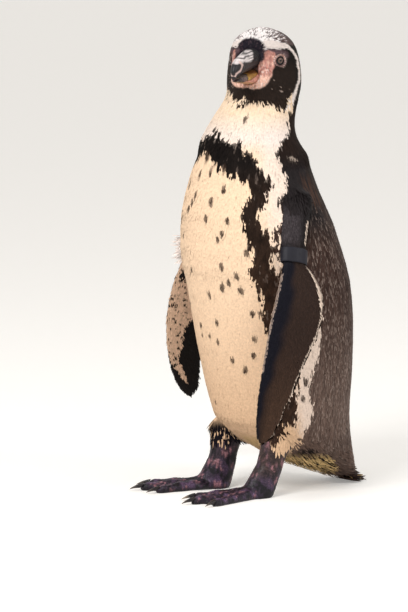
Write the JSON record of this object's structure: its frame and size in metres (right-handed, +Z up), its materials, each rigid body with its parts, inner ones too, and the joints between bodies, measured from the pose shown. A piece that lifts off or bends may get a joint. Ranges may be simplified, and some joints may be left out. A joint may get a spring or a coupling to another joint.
{
  "type": "humboldt penguin model",
  "caption": "Life-size still model of a standing Humboldt-type penguin with its head turned to its left, a spotted pale belly and a plain band round its left flipper.",
  "frame": {"origin": "middle of the underside of the whole model's bounding box, on the floor", "axes": "+Z is up, -Y is the way the body faces, +X is the bird's left side"},
  "size_m": [0.289, 0.2698, 0.526],
  "materials": {
    "dark_feathers": "close dull feathers, black-brown",
    "pale_feathers": "close dull feathers, warm white",
    "bill_horn": "horn with a soft shine",
    "eye": "wet shine",
    "foot_skin": "scaled bare skin, black mottled with pink",
    "claw": "smooth horn",
    "band": "satin, blank"
  },
  "bodies": {
    "root": {"trunk": "dark_feathers", "neck": "pale_feathers", "head": "dark_feathers", "tail": "dark_feathers", "flipper_left": "dark_feathers", "flipper_right": "dark_feathers", "bill_upper": "bill_horn", "bill_lower": "bill_horn", "eye_left": "eye", "eye_right": "eye", "leg_left": "pale_feathers", "leg_right": "pale_feathers", "foot_left": "foot_skin", "foot_right": "foot_skin", "flipper_band": "band", "claw_left_inner": "claw", "claw_left_middle": "claw", "claw_left_outer": "claw", "claw_right_inner": "claw", "claw_right_middle": "claw", "claw_right_outer": "claw"}
  },
  "joints": []
}
